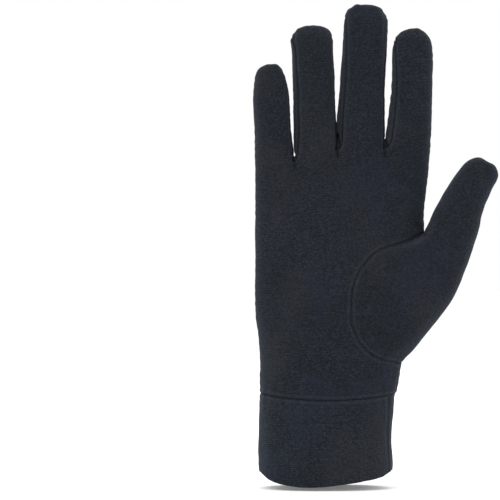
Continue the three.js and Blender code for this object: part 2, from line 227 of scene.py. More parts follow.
def on_thumb_patch(middle):
    """The block's faces that the thumb is drawn out of: part of the palm and the side below the fork."""
    row = middle.z - len(CUFF_ROWS)
    in_rows = THUMB_LOW + HAIR < row < THUMB_HIGH - HAIR
    on_palm = middle.y < HAIR and THUMB_COLUMN + HAIR < middle.x < COLUMNS - HAIR
    on_side = middle.x > COLUMNS - HAIR and HAIR < middle.y < LAYERS - HAIR
    return in_rows and (on_palm or on_side)


def glove_block():
    """The glove in plain block steps: cut into columns, layers and rows, fingers drawn up, thumb drawn out."""
    bpy.ops.object.select_all(action="DESELECT")
    rows = len(CUFF_ROWS) + HAND_ROWS
    size = (COLUMNS * STEP, LAYERS * STEP, rows * STEP)
    bpy.ops.mesh.primitive_cube_add(size=1, location=[s / 2 for s in size], scale=size)
    piece = bpy.context.object
    bpy.ops.object.transform_apply(location=True, rotation=True, scale=True)
    piece.name = "glove"
    bpy.ops.object.mode_set(mode="EDIT")
    bpy.ops.mesh.select_mode(type="FACE")
    for axis, count in enumerate((COLUMNS, LAYERS, rows)):
        normal = [0, 0, 0]
        normal[axis] = 1
        for cut in range(1, count):
            bpy.ops.mesh.select_all(action="SELECT")
            bpy.ops.mesh.bisect(plane_co=[n * cut * STEP for n in normal], plane_no=normal)
    mesh = bmesh.from_edit_mesh(piece.data)
    mesh.verts.layers.int.new("ring")
    bmesh.update_edit_mesh(piece.data)
    select_faces(piece, lambda middle, ring: middle.z < HAIR)
    bpy.ops.mesh.delete(type="FACE")
    for left in range(0, COLUMNS, 3):
        for top in range(rows, rows + len(FINGER_ROWS)):
            select_faces(piece, lambda middle, ring: abs(middle.z - top) < HAIR and left < middle.x < left + 2)
            bpy.ops.mesh.extrude_region_move(TRANSFORM_OT_translate={"value": (0, 0, STEP)})
    for number in range(1, len(THUMB_RINGS) + 1):
        select_faces(piece, lambda middle, ring: ring == number - 1 and on_thumb_patch(middle))
        bpy.ops.mesh.extrude_region_move(TRANSFORM_OT_translate={"value": (0, 0, 0)})
        mesh = bmesh.from_edit_mesh(piece.data)
        rings = mesh.verts.layers.int["ring"]
        for vert in mesh.verts:
            if vert.select:
                vert[rings] = number
        bmesh.update_edit_mesh(piece.data)
    bpy.ops.object.mode_set(mode="OBJECT")
    return piece


def row_height(column, row):
    """Height of a row of the hand at a column: level at the cuff, along the thumb's seam, rising to the feet."""
    def marked(mark):
        if mark == 0:
            return CUFF_SEAM[0]
        if mark == HAND_ROWS:
            return FEET[0] + FEET[1] * column / COLUMNS
        if column <= THUMB_COLUMN:
            return between(SEAM_ROWS[mark], THUMB_SEAM[(THUMB_COLUMN, mark)][1], column / THUMB_COLUMN)
        return THUMB_SEAM[(column, mark)][1]

    if row <= THUMB_LOW:
        return between(marked(0), marked(THUMB_LOW), LOW_ROWS[row])
    if row <= THUMB_HIGH:
        low, high = [THUMB_SEAM[(THUMB_COLUMN, mark)][1] for mark in (THUMB_LOW, THUMB_HIGH)]
        share = 1 if row == THUMB_HIGH else (THUMB_SEAM[(THUMB_COLUMN, row)][1] - low) / (high - low)
        return between(marked(THUMB_LOW), marked(THUMB_HIGH), share)
    return between(marked(THUMB_HIGH), marked(HAND_ROWS), HIGH_ROWS[row - THUMB_HIGH - 1])


def seam_shift(column, row, base):
    """How far a column of the palm moves sideways to follow the thumb's seam."""
    if THUMB_LOW <= row <= THUMB_HIGH:
        mark, spread = row, 1
    else:
        mark = THUMB_LOW if row < THUMB_LOW else THUMB_HIGH
        apart = abs(row - mark)
        if apart >= len(SEAM_SPREAD):
            return 0
        spread = SEAM_SPREAD[apart]
    if column <= THUMB_COLUMN:
        turn = THUMB_SEAM[(THUMB_COLUMN, mark)]
        return spread * column / THUMB_COLUMN * (turn[0] - base(THUMB_COLUMN, turn[1]))
    if (column, mark) in THUMB_SEAM:
        place = THUMB_SEAM[(column, mark)]
        return spread * (place[0] - base(column, place[1]))
    return 0


def finger_section(finger, height):
    """Middle, half width, half depth and lean of a finger at a height."""
    edges, tip = FINGER_EDGES[finger], FINGER_TIPS[finger]
    left, right = read_row(edges, height)
    foot = edges[0][0]
    share = min(1.0, max(0.0, (height - foot) / (tip - foot)))
    depth = between(*FINGER_DEPTHS[finger], share)
    length, aside = TIP_SHAPES[finger]
    closing = min(1.0, max(0.0, (height - tip + length) / length))
    close = (1 - closing ** TIP_CURVE[0]) ** TIP_CURVE[1]
    lean = -CURL[0] * share ** CURL[2] * (tip - foot) / CURL[1]
    return (left + right) / 2 + aside * closing ** 2, (right - left) / 2 * close, depth * close, lean


def finger_angle(side, layer, strip, roll):
    """Angle on a finger's section: 0 at the thumb's side, 90 at the palm. The roll turns it to the palm."""
    facing = 1 - layer / 2
    if side == 0:
        return 90 * facing
    centre = -roll if side > 0 else 180 - roll
    if abs(facing) < 1:
        return centre + side * 2 * facing * strip
    seam = centre + side * facing * strip
    face = 90 if facing > 0 else (-90 if side > 0 else 270)
    return (seam + face) / 2


def finger_place(finger, side, layer, height, pull=0):
    """A point on a finger: side -1, 0 or 1 across it, and layer 0 at the palm to 4 at the back.
    Pull brings the corners beside a neighbouring finger together, which makes the fork narrow."""
    middle, half, depth, lean = finger_section(finger, height)
    tip, foot = FINGER_TIPS[finger], FINGER_EDGES[finger][0][0]
    outer = (finger, side) in (("little", -1), ("index", 1))
    share = (height - foot) / (tip - foot)
    rate, start, power = NARROWING
    closing = max(0.0, share * rate - start) ** power
    plain = outer or share > FOURCHETTE_END
    strip = FOURCHETTE_ANGLE if plain else between(FOURCHETTE_ANGLE, END_ANGLE, closing)
    roll = OUTER_ROLL if outer else between(OUTER_ROLL, ROLL, eased(share / ROLL_SHARE))
    angle = math.radians(finger_angle(side, layer, strip, roll))
    along, out = rounded(math.cos(angle)), rounded(math.sin(angle))
    if side and not outer and layer in (0, LAYERS):
        along = between(along, FORK_CORNER[0] * side, pull)
        out = between(out, math.copysign(FORK_CORNER[1], out), pull)
    return (middle + half * along, lean - depth * out, height)


def web_rise(column, layer, share):
    """How much higher a finger's side stands in the middle of its fourchette; share is along the finger."""
    if layer in (0, LAYERS) or column in (0, COLUMNS) or column % 3 == 1:
        return 0
    most = WEB_RISE[column if column in WEB_RISE else column - 1]
    return most * (1 if layer == 2 else WEB_SIDE) * max(0.0, 1 - share / WEB_FADE[0]) ** WEB_FADE[1]


def hand_place(column, layer, row):
    """A point on the hand, between the cuff's seam and the feet of the fingers."""
    height = row_height(column, row)

    def base(at_column, at_height):
        left, right, _, _ = read_row(HAND_OUTLINE, at_height)
        return (left + right) / 2 + (right - left) / 2 * HAND_EDGE * (2 * at_column / COLUMNS - 1)

    left, right, palm, back = read_row(HAND_OUTLINE, height)
    middle, half = (left + right) / 2, (right - left) / 2
    edge = BACK_EDGE[row]
    if layer == LAYERS:
        across = between(-HAND_EDGE, superellipse(edge / back), column / COLUMNS)
        x, y = middle + half * across, back * superellipse(across)
    else:
        x = base(column, height)
        if layer == 0:
            x += seam_shift(column, row, base)
        across = (x - middle) / half
        y = -palm * superellipse(across)
        if layer:
            high = edge if column == COLUMNS else back * superellipse(HAND_EDGE)
            y = between(y, high, layer / LAYERS)
            across = superellipse(y / (palm if y < 0 else back)) * (1 if column else -1)
            x = middle + half * across
    if layer in (0, LAYERS):
        height -= CUFF_SEAM[1 if layer == 0 else 2] * (1 - across ** 2) * max(0, 1 - row / 2)
    if row > THUMB_HIGH:
        finger = FINGERS[column // 3]
        pull = FORK_PULL.get(row, 0)
        fx, fy, _ = finger_place(finger, column % 3 - 1, layer, max(height, FINGER_EDGES[finger][0][0]), pull)
        over = eased((row - THUMB_HIGH) / (HAND_ROWS - THUMB_HIGH))
        x = between(x, fx, over)
        y = between(y, fy, over ** 3)
        if row == HAND_ROWS:
            height += web_rise(column, layer, 0)
    return (x, y, height)


def cuff_place(column, layer, row):
    """A point on the cuff: row 0 is the hem and the last row is next to the seam."""
    share = CUFF_ROWS[len(CUFF_ROWS) - 1 - row]
    seam = hand_place(column, layer, 0)
    left, right, palm, back = read_row(CUFF_OUTLINE, CUFF_SEAM[0] * (1 - share))
    middle, half = (left + right) / 2, (right - left) / 2
    if layer in (0, LAYERS):
        across = min(CUFF_EDGE, max(-CUFF_EDGE, (seam[0] - middle) / half))
        x, y = middle + half * across, superellipse(across) * (-palm if layer == 0 else back)
    else:
        across = 1 if column else -1
        y = seam[1] * palm / CUFF_OUTLINE[-1][3]
        x = middle + half * superellipse(y / palm) * across
    hem = np.interp(across, HEM_AT, HEM_PALM if y < 0 else HEM_BACK)
    return (x, y, between(seam[2], float(hem), share))


def thumb_order():
    """The corners around the thumb's seam, by column, layer and row, with their angles on the thumb."""
    top = [(COLUMNS, layer, THUMB_HIGH) for layer in (2, 1, 0)]
    top += [(column, 0, THUMB_HIGH) for column in range(COLUMNS - 1, THUMB_COLUMN - 1, -1)]
    down = [(THUMB_COLUMN, 0, row) for row in range(THUMB_HIGH - 1, THUMB_LOW, -1)]
    low = [(column, 0, THUMB_LOW) for column in range(THUMB_COLUMN, COLUMNS + 1)]
    side = [(COLUMNS, layer, THUMB_LOW) for layer in range(1, LAYERS + 1)]
    back = [(COLUMNS, LAYERS, row) for row in range(THUMB_LOW + 1, THUMB_HIGH + 1)]
    around = top + down + low + side + back + [(COLUMNS, 3, THUMB_HIGH)]
    angles = np.interp(range(len(around)), list(THUMB_ANGLES), list(THUMB_ANGLES.values()))
    return dict(zip(around, np.radians(angles)))


def thumb_section(inner, outer, front, back, edge, angle, reach=1.0):
    """A point on a ring of the thumb at an angle."""
    along, out = rounded(math.cos(angle)) * reach, rounded(math.sin(angle)) * reach
    x, z = [(i + o) / 2 + (i - o) / 2 * along for i, o in zip(inner, outer)]
    return np.array((x, edge + (front - edge if out > 0 else edge - back) * out, z))


def thumb_cap(angles, neighbours, inside, rounds=200):
    """Places inside the last ring, on a disc: each is brought to the middle of its neighbours."""
    disc = {key: np.array((math.cos(angle), math.sin(angle))) for key, angle in angles.items()}
    disc.update({key: np.zeros(2) for key in inside})
    for _ in range(rounds):
        for key in inside:
            disc[key] = sum(disc[n] for n in neighbours[key]) / len(neighbours[key])
    return disc


def rounded_out(mesh, places, rounds=4, most=1.2):
    """Moves the block's points so that the subdivided surface runs through their places, by at most so many
    millimetres in a round. The weights are those by which subdivision settles a point."""
    mesh.verts.index_update()
    wanted = np.array([places[v.index] for v in mesh.verts])
    now = wanted.copy()
    star = []
    for vert in mesh.verts:
        rim = [e for e in vert.link_edges if len(e.link_faces) == 1]
        if rim:
            star.append(("rim", [e.other_vert(vert).index for e in rim], []))
            continue
        near = [e.other_vert(vert).index for e in vert.link_edges]
        far = [v.index for f in vert.link_faces for v in f.verts if v != vert and v.index not in near]
        star.append(("inside", near, far))
    for _ in range(rounds):
        settled = now.copy()
        for index, (kind, near, far) in enumerate(star):
            if kind == "rim":
                settled[index] = (4 * now[index] + now[near].sum(axis=0)) / 6
                continue
            n = len(near)
            around = 4 * now[near].sum(axis=0) + now[far].sum(axis=0)
            settled[index] = (n * n * now[index] + around) / (n * (n + 5))
        move = wanted - settled
        size = np.linalg.norm(move, axis=1, keepdims=True)
        now += move * np.minimum(1, most / np.maximum(size, 1e-9))
    return now


def thumb_place(key, angles, disc):
    """A point on the thumb: on one of its rings, or on the round cap inside the last."""
    corner, section = key[:3], THUMB_RINGS[key[3] - 1]
    if corner in angles:
        angle = angles[corner]
        seam = np.array(hand_place(*corner)) - thumb_section(*THUMB_ROOT, angle)
        return thumb_section(*section[:5], angle) + section[5] * seam
    across, out = disc[key]
    reach = math.hypot(across, out)
    flat = thumb_section(*section[:5], math.atan2(out, across), reach)
    lift = THUMB_TIP[0] * (1 - reach ** THUMB_TIP[1]) ** 0.5
    (ix, iz), (ox, oz) = section[:2]
    long = math.hypot(ix - ox, iz - oz)
    return flat + lift * np.array(((iz - oz) / long, 0, (ox - ix) / long))


def finger_point(column, layer, row):
    """A point of the block's fingers, on their sides or on top of their tips."""
    finger, side = FINGERS[column // 3], column % 3 - 1
    foot, tip = row_height(column, HAND_ROWS), FINGER_TIPS[finger]
    share = FINGER_ROWS[row - HAND_ROWS - 1]
    height = between(foot, tip, share) + web_rise(column, layer, share)
    if side or layer in (0, LAYERS):
        return finger_place(finger, side, layer, height, FORK_PULL.get(row, 0))
    middle, _, depth, lean = finger_section(finger, height)
    taken, edge_drop, middle_drop = TIP_TOP
    return (middle, (layer - 2) / 2 * taken * depth + lean, tip - (edge_drop if layer != 2 else middle_drop))


def shape_block(piece):
    """Moves each point of the block to its place on the glove."""
    mesh = bmesh.new()
    mesh.from_mesh(piece.data)
    mesh.verts.ensure_lookup_table()
    rings = mesh.verts.layers.int["ring"]
    cuff, last = len(CUFF_ROWS), len(THUMB_RINGS)
    keys = []
    for vert in mesh.verts:
        column, layer, row = [round(number / STEP) for number in vert.co]
        keys.append((column, layer, row - cuff, vert[rings]))
    angles = thumb_order()
    inside = [key for key in keys if key[3] == last and key[:3] not in angles]
    neighbours = {
        keys[v.index]: [keys[e.other_vert(v).index] for e in v.link_edges]
        for v in mesh.verts if keys[v.index] in inside
    }
    disc = thumb_cap({(*key, last): angle for key, angle in angles.items()}, neighbours, inside)
    places = []
    for column, layer, row, ring in keys:
        if ring:
            places.append(thumb_place((column, layer, row, ring), angles, disc))
        elif row < 0:
            places.append(cuff_place(column, layer, row + cuff))
        elif row <= HAND_ROWS:
            places.append(hand_place(column, layer, row))
        else:
            places.append(finger_point(column, layer, row))
    for vert, place in zip(mesh.verts, rounded_out(mesh, places)):
        vert.co = Vector(place) * MM
    mark_panels(mesh, keys, {key: np.array(place) for key, place in zip(keys, places)})
    mesh.to_mesh(piece.data)
    mesh.free()


# The panels, each known by its number in this list.
PIECES = (
    "palm_panel", "back_panel", "thumb_panel", "fourchette_ring_little", "fourchette_middle_ring",
    "fourchette_index_middle", "cuff",
)
PALM, BACK, THUMB, FIRST_FOURCHETTE, CUFF = 0, 1, 2, 3, 6
FOURCHETTE_TOP = HAND_ROWS + 8  # the row in which the fourchettes end
LEVEL_RING = 6  # the ring of the thumb from which its cloth is measured up and down
# Where the thumb's cap lies on its flat cloth, and how much it runs along with the way across and the way up.
CAP_CLOTH = (60, 140)
CAP_WAY = (0.9, 0.4)


def panel_of(corners):
    """The panel a face of the block belongs to."""
    columns, layers, rows, rings = [list(values) for values in zip(*corners)]
    if max(rings):
        return THUMB
    if min(rows) < 0:
        return CUFF
    high = min(rows) >= HAND_ROWS and max(rows) <= FOURCHETTE_TOP
    within = high and min(layers) >= 1 and max(layers) <= LAYERS - 1
    if within and 0 < min(columns) and max(columns) < COLUMNS:
        return FIRST_FOURCHETTE + min(columns) // 3
    return PALM if sum(layers) / len(layers) < LAYERS / 2 else BACK


def cloth_place(panel, front, key, places, angles):
    """Where a corner lies on its panel's flat cloth, across and along, in millimetres."""
    column, layer, row, ring = key

    def apart(one, other):
        return float(np.linalg.norm(places[one] - places[other]))

    if panel == THUMB:
        around = list(angles)
        if key[:3] not in angles:
            away = places[key] - np.mean([places[(*a, ring)] for a in around], axis=0)
            return (away[1] + CAP_CLOTH[0], away[0] * CAP_WAY[0] - away[2] * CAP_WAY[1] + CAP_CLOTH[1])
        at = around.index(key[:3])
        start = min(range(len(around)), key=lambda i: abs(angles[around[i]] - math.pi / 2))
        step = 1 if at > start else -1
        across = sum(apart((*around[i], ring), (*around[i + step], ring)) for i in range(start, at, step)) * step
        low, high = sorted((ring, LEVEL_RING))
        along = sum(apart((*key[:3], r), (*key[:3], r + 1)) for r in range(low, high))
        return (across, along if ring > LEVEL_RING else -along)
    if FIRST_FOURCHETTE <= panel < CUFF:
        return (places[key][1], places[key][2])
    face = 0 if front else LAYERS
    if row <= HAND_ROWS:
        centre = COLUMNS // 2
        across = float(places[(centre, face, row, 0)][0])
    else:
        centre = column // 3 * 3 + 1
        foot = cloth_place(panel, front, (centre, face, HAND_ROWS, 0), places, angles)[0]
        across = foot + float(places[(centre, face, row, 0)][0] - places[(centre, face, HAND_ROWS, 0)][0])
    along = float(places[(column, layer, row, 0)][2])
    step = 1 if column > centre else -1
    for at in range(centre, column, step):
        across += step * apart((at, face, row, 0), (at + step, face, row, 0))
    if column == centre and layer != face and row > HAND_ROWS:
        return (across, along + apart(key, (column, face, row, 0)))
    outward = step
    if 0 < column < COLUMNS:
        outward = 1 if column % 3 == 2 else -1
    turn = 1 if front else -1
    for at in range(face, layer, turn):
        across += outward * apart((column, at, row, 0), (column, at + turn, row, 0))
    return (across, along)


def mark_panels(mesh, keys, places):
    """Gives each face its panel and its place on the cloth."""
    angles = thumb_order()
    cloth = mesh.loops.layers.uv.new("cloth")
    number = mesh.faces.layers.int.new("panel")
    for face in mesh.faces:
        corners = [keys[v.index] for v in face.verts]
        panel = panel_of(corners)
        face.material_index = face[number] = panel
        front = sum(key[1] for key in corners) / len(corners) < LAYERS / 2
        for loop in face.loops:
            loop[cloth].uv = cloth_place(panel, front, keys[loop.vert.index], places, angles)


def seam_lines(piece):
    """Points along every seam: place, direction, distance along it, and the panels on either side."""
    mesh = bmesh.new()
    mesh.from_mesh(piece.data)
    links = {}
    for edge in mesh.edges:
        panels = {face.material_index for face in edge.link_faces}
        if len(panels) > 1:
            for vert in edge.verts:
                links.setdefault(vert, []).append((edge.other_vert(vert), panels))
    points, started = [], set()
    ends = [vert for vert, near in links.items() if len(near) != 2]
    for start in ends + list(links):
        for after, panels in links[start]:
            if (start, after) in started or (len(links[start]) == 2 and start in started):
                continue
            before, vert, run = start, after, 0.0
            line = [start.co.copy()]
            while True:
                started.update({(before, vert), (vert, before)})
                line.append(vert.co.copy())
                if len(links[vert]) != 2 or vert == start:
                    break
                started.add(vert)
                step = [near for near, _ in links[vert] if near != before][0]
                before, vert = vert, step
            for at, place in enumerate(line):
                way = line[min(at + 1, len(line) - 1)] - line[max(at - 1, 0)]
                points.append((place, way.normalized(), run, panels))
                if at + 1 < len(line):
                    run += (line[at + 1] - place).length
    mesh.free()
    return points


# Puckers beside each kind of seam: height, length along the seam, how far they reach, and the roll of the edge.
PUCKERS = {
    "cuff": (0.30, 6.2, 7.0, 0.16),
    "thumb": (0.30, 4.8, 5.0, 0.10),
    "side": (0.14, 4.2, 3.5, 0.12),
    "fourchette": (0.12, 3.9, 3.0, 0.12),
}
PUCKER_CHANGE = (0.55, 0.9)  # middle strength of the puckers, and how much it changes along a seam
PUCKER_START = 1.2  # distance from the seam at which they are full
ROLLED_EDGE = (1.7, 1.15)  # distance of the rolled edge from its seam, and its width
GROOVE = (0.18, 0.8)  # depth and width of the groove at the seam
# The forks of fingers and thumb, across and up. Folds fan out below them: height, how many to a radian, length
# over which they fade, distance at which they are full, and how far they reach down and up.
CROTCHES = ((-16.4, 166.5), (6.0, 171.0), (30.4, 174.0), (50.5, 133.0))
FOLDS = (0.42, 5.2, 8.5, 4, 26, 6)
# Small lumps where the side seams end at the fingertips: across, up and height.
LUMPS = ((-25.6, 219.4, 0.5), (-17.2, 231.8, 0.7), (15.6, 249.8, 0.7), (47.6, 237.8, 0.4), (30.6, 243.0, 0.4))
LUMP_SIZE = 3.4
FORK_PAINTED_SHADE = (176, 226)  # heights between which the painted shade on the cloth between the fingers fades out, full at the lower one
CREASES = ((-16.4, 163.6), (6.1, 168.6), (30.3, 169.8))  # where the crease below each fork ends: across and up
CREASE_WIDTH = 1.1
CREASE_DEPTH = 0.55
CREASE_START = 3.5  # length over which a crease becomes full
# The cuff's side seam, on the thumb's side: its depth, then height, distance and width of its rolled edges, and
# depth and width of its groove.
CUFF_SIDE_SEAM = -9.5
SIDE_EDGE = (0.10, 1.5, 1.0)
SIDE_GROOVE = (0.24, 0.55)
# Unevenness of the worn cloth: height and size, then height, size across and size up of slack courses.
UNEVEN = ((0.42, 21), (0.16, 8.5))
SLACK = (0.16, 15, 4.6)


def crease(across, height):
    """How strong the crease below a fork is at a point of the palm or the back."""
    return sum(bell(across - x, CREASE_WIDTH) * eased((height - z) / CREASE_START) for x, z in CREASES)


def paint_fork_shade(part, panel):
    """Marks where shade is painted: on the cloth between the fingers, most toward their feet, and in the crease
    below each fork.
    """
    part.data.attributes.new("fork", "FLOAT", "POINT")
    shade = []
    for vert in part.data.vertices:
        across, _, height = vert.co / MM
        if panel in (PALM, BACK):
            shade.append(min(1.0, crease(across, height)) if height < FORK_PAINTED_SHADE[0] else 0.0)
        elif panel in (THUMB, CUFF):
            shade.append(0.0)
        else:
            shade.append(eased((FORK_PAINTED_SHADE[1] - height) / (FORK_PAINTED_SHADE[1] - FORK_PAINTED_SHADE[0])))
    part.data.attributes["fork"].data.foreach_set("value", shade)


def seam_kind(panels):
    """The kind of a seam by the panels that it joins."""
    if CUFF in panels:
        return "cuff"
    if THUMB in panels:
        return "thumb"
    return "side" if panels == {PALM, BACK} else "fourchette"


def pucker(panels, away, along):
    """Puckers, rolled edge and groove at a distance from a seam and a way along it."""
    height, wave, reach, roll = PUCKERS[seam_kind(panels)]
    seed = Vector((along / 11, 3.7 * len(panels) + 0.31 * max(panels), 0.0))
    strength = PUCKER_CHANGE[0] + PUCKER_CHANGE[1] * noise.noise(seed)
    phase = 2 * math.pi * along / wave + 3.2 * noise.noise(seed * 1.3 + Vector((0, 0, 7)))
    skew = 0.35 * away * noise.noise(seed * 0.7 + Vector((0, 5, 0)))
    fade = math.exp(-away / reach) * min(1.0, away / PUCKER_START)
    move = height * strength * math.sin(phase + skew) * fade
    return move + roll * bell(away - ROLLED_EDGE[0], ROLLED_EDGE[1]) - GROOVE[0] * bell(away, GROOVE[1])


def folds(place):
    """Folds that fan out below the forks."""
    height, count, fade, full, down, up = FOLDS
    move = 0.0
    for x, z in CROTCHES:
        dx, dz = place.x - x, z - place.z
        gone = math.hypot(dx, dz)
        if gone < down and dz > -up:
            fold = math.cos(count * math.atan2(dx, dz) + 0.9 * x)
            move += height * fold * math.exp(-gone / fade) * min(1.0, gone / full)
    return move


def unevenness(place):
    """Lumps at the fingertips and slow unevenness of the cloth."""
    move = sum(height * noise.noise(place / size) for height, size in UNEVEN)
    height, across, up = SLACK
    move += height * noise.noise(Vector((place.x / across, place.y / across, place.z / up)))
    for x, z, lump in LUMPS:
        move += lump * math.exp(-((place.x - x) ** 2 + (place.z - z) ** 2) / LUMP_SIZE)
    return move


def wear_in(piece):
    """Moves the fine skin a little: rolled seams, puckers beside them, folds at the forks and slow unevenness.
    Returns a tree to find the seams' points by, and the points."""
    points = seam_lines(piece)
    tree = kdtree.KDTree(len(points))
    for index, point in enumerate(points):
        tree.insert(point[0], index)
    tree.balance()
    skin = piece.data
    places = [v.co.copy() for v in skin.vertices]
    normals = [v.normal.copy() for v in skin.vertices]
    for name, kind in (("seam", "FLOAT"), ("seam_run", "FLOAT"), ("outward", "FLOAT_VECTOR")):
        skin.attributes.new(name, kind, "POINT")
    near, run, outward = [skin.attributes[name] for name in ("seam", "seam_run", "outward")]
    outward.data.foreach_set("vector", [number for normal in normals for number in normal])
    panel_at = {vert: face.material_index for face in skin.polygons for vert in face.vertices}
    for index, (place, normal) in enumerate(zip(places, normals)):
        _, at, away = tree.find(place)
        spot, way, along, panels = points[at]
        away = away / MM
        along = (along + (place - spot).dot(way)) / MM
        p = place / MM
        move = pucker(panels, away, along) + folds(p) + unevenness(p)
        if panel_at[index] == CUFF and p.x > 0:
            aside = abs(p.y - CUFF_SIDE_SEAM)
            away = min(away, aside)
            move += SIDE_EDGE[0] * bell(aside - SIDE_EDGE[1], SIDE_EDGE[2])
            move -= SIDE_GROOVE[0] * bell(aside, SIDE_GROOVE[1])
        if panel_at[index] in (PALM, BACK):
            move -= CREASE_DEPTH * crease(p.x, p.z)
        near.data[index].value = away
        run.data[index].value = along
        skin.vertices[index].co = place + normal * move * MM
    return tree, points


def cut_pieces(piece):
    """Separates the skin into its panels and names them. Returns them by their numbers."""
    start_edit(piece)
    bpy.ops.mesh.separate(type="MATERIAL")
    bpy.ops.object.mode_set(mode="OBJECT")
    cut = {}
    for part in [o for o in bpy.context.scene.objects if o.type == "MESH" and o.name.split(".")[0] == "glove"]:
        panel = part.data.attributes["panel"].data[0].value
        part.name = part.data.name = "knit_" + PIECES[panel]
        cut[panel] = part
    return cut


WALL = 1.1
CUFF_WALL = 2.0
# How far in the two loops inside a panel's edge lie on each panel, and how far the edge and the loops sink.
LIPS = {PALM: (0.22, 0.09), BACK: (0.22, 0.09), THUMB: (0.36, 0.15), CUFF: (0.5, 0.2)}
FOURCHETTE_LIPS = (0.11, 0.05)
SINKS = (0.34, 0.11, 0.02)
# How far a panel's edge stands back from the seam, and how deep it turns in, beside each kind of seam.
EDGES = {"cuff": (0.10, 1.0), "thumb": (0.015, 0.4), "side": (0.015, 0.4), "fourchette": (0.02, 0.5)}
HEM_BEVEL = 0.75
SHARP = 50  # degrees between two faces from which the edge between them stays sharp


def turn_edge(part, panel, tree, points):
    """Lays two loops inside a panel's edge, draws the edge back from its seam and turns it in."""
    start_edit(part)
    bpy.ops.mesh.select_mode(type="FACE")
    for width in LIPS.get(panel, FOURCHETTE_LIPS):
        bpy.ops.mesh.select_all(action="SELECT")
        bpy.ops.mesh.inset(thickness=width * MM, depth=0, use_boundary=True, use_even_offset=False)
    bpy.ops.object.mode_set(mode="OBJECT")
    mesh = bmesh.new()
    mesh.from_mesh(part.data)
    loops = [{v for v in mesh.verts if v.is_boundary and not (panel == CUFF and v.co.z / MM < HEM_TOP + 3)}]
    for _ in SINKS[1:]:
        inner = {e.other_vert(v) for v in loops[-1] for e in v.link_edges} - loops[-1]
        loops.append(inner - (loops[-2] if len(loops) > 1 else set()))
    mesh.normal_update()
    moves = []
    for loop, sink in zip(loops, SINKS):
        for vert in loop:
            gap, depth = EDGES[seam_kind(points[tree.find(vert.co)[1]][3])]
            inward = Vector()
            near = [e.other_vert(vert) for e in vert.link_edges if not e.is_boundary]
            if loop is loops[0] and near:
                inward = (near[0].co - vert.co).normalized() * gap
            moves.append((vert, (inward - vert.normal * sink * depth) * MM))
    for vert, move in moves:
        vert.co += move
    mesh.to_mesh(part.data)
    mesh.free()


def round_hem(part, outer):
    """Bevels the two edges of the hem's rim. Outer is the set of points on the outside of the wall."""
    bpy.ops.mesh.select_all(action="DESELECT")
    bpy.ops.mesh.select_mode(type="EDGE")
    mesh = bmesh.from_edit_mesh(part.data)
    mesh.verts.index_update()
    for face in mesh.faces:
        sides = [vert.index in outer for vert in face.verts]
        if any(sides) and not all(sides) and face.calc_center_median().z / MM < HEM_TOP + 1:
            for edge in face.edges:
                if (edge.verts[0].index in outer) == (edge.verts[1].index in outer):
                    edge.select_set(True)
    mesh.select_flush_mode()
    bmesh.update_edit_mesh(part.data)
    bpy.ops.mesh.bevel(offset=HEM_BEVEL * MM, segments=3, affect="EDGES")


def wall_piece(part, panel):
    """Gives a panel its wall, and the cuff its rounded hem."""
    start_edit(part)
    bpy.ops.mesh.extrude_region_move(TRANSFORM_OT_translate={"value": (0, 0, 0)})
    mesh = bmesh.from_edit_mesh(part.data)
    outward = mesh.verts.layers.float_vector["outward"]
    thick = (CUFF_WALL if panel == CUFF else WALL) * MM
    mesh.verts.index_update()
    outer = {vert.index for vert in mesh.verts if vert.select}
    for vert in mesh.verts:
        if not vert.select:
            vert.co -= vert[outward].normalized() * thick
    bmesh.update_edit_mesh(part.data)
    if panel == CUFF:
        round_hem(part, outer)
    bpy.ops.mesh.select_all(action="SELECT")
    bpy.ops.mesh.normals_make_consistent(inside=False)
    bpy.ops.object.mode_set(mode="OBJECT")
    bpy.ops.object.shade_smooth_by_angle(angle=math.radians(SHARP))


def node_group(name, places, numbers, results):
    """A shader node group that takes places and numbers, and gives numbers."""
    group = bpy.data.node_groups.new(name, "ShaderNodeTree")
    sockets = [(title, "INPUT", "NodeSocketVector") for title in places]
    sockets += [(title, "INPUT", "NodeSocketFloat") for title in numbers]
    sockets += [(title, "OUTPUT", "NodeSocketFloat") for title in results]
    for title, end, kind in sockets:
        group.interface.new_socket(title, in_out=end, socket_type=kind)
    return group, group.nodes.new("NodeGroupInput"), group.nodes.new("NodeGroupOutput")


def feed(tree, node, values):
    """Gives a node's inputs, by name or number, their sockets or values. Returns its outputs."""
    for title, value in values.items():
        if isinstance(value, bpy.types.NodeSocket):
            tree.links.new(value, node.inputs[title])
        else:
            node.inputs[title].default_value = value
    return node.outputs


def math_node(tree, operation, *values):
    """A Math node fed by sockets or numbers."""
    node = tree.nodes.new("ShaderNodeMath")
    node.operation = operation
    return feed(tree, node, dict(enumerate(values)))[0]


def sine_node(tree, value, length=1.0):
    """A sine wave of a length along a value."""
    return math_node(tree, "SINE", math_node(tree, "MULTIPLY", value, 2 * math.pi / length))


def apart_node(tree, value, centre):
    """How far a value is from a centre."""
    return math_node(tree, "ABSOLUTE", math_node(tree, "SUBTRACT", value, centre))


def noise_node(tree, vector, scale, detail=2.0, roughness=0.5, stretch=(1, 1, 1)):
    """Noise in millimetres: scale is features per millimetre."""
    moved = tree.nodes.new("ShaderNodeVectorMath")
    moved.operation = "MULTIPLY"
    vector = feed(tree, moved, {0: vector, 1: [scale * s for s in stretch]})[0]
    node = tree.nodes.new("ShaderNodeTexNoise")
    return feed(tree, node, {"Vector": vector, "Scale": 1, "Detail": detail, "Roughness": roughness})["Fac"]


def map_range(tree, value, low, high, to_low=0.0, to_high=1.0, smooth=True):
    """A value from low to high brought to another range, by a soft curve or a straight line."""
    node = tree.nodes.new("ShaderNodeMapRange")
    node.interpolation_type = "SMOOTHSTEP" if smooth else "LINEAR"
    values = {"Value": value, "From Min": low, "From Max": high, "To Min": to_low, "To Max": to_high}
    return feed(tree, node, values)["Result"]


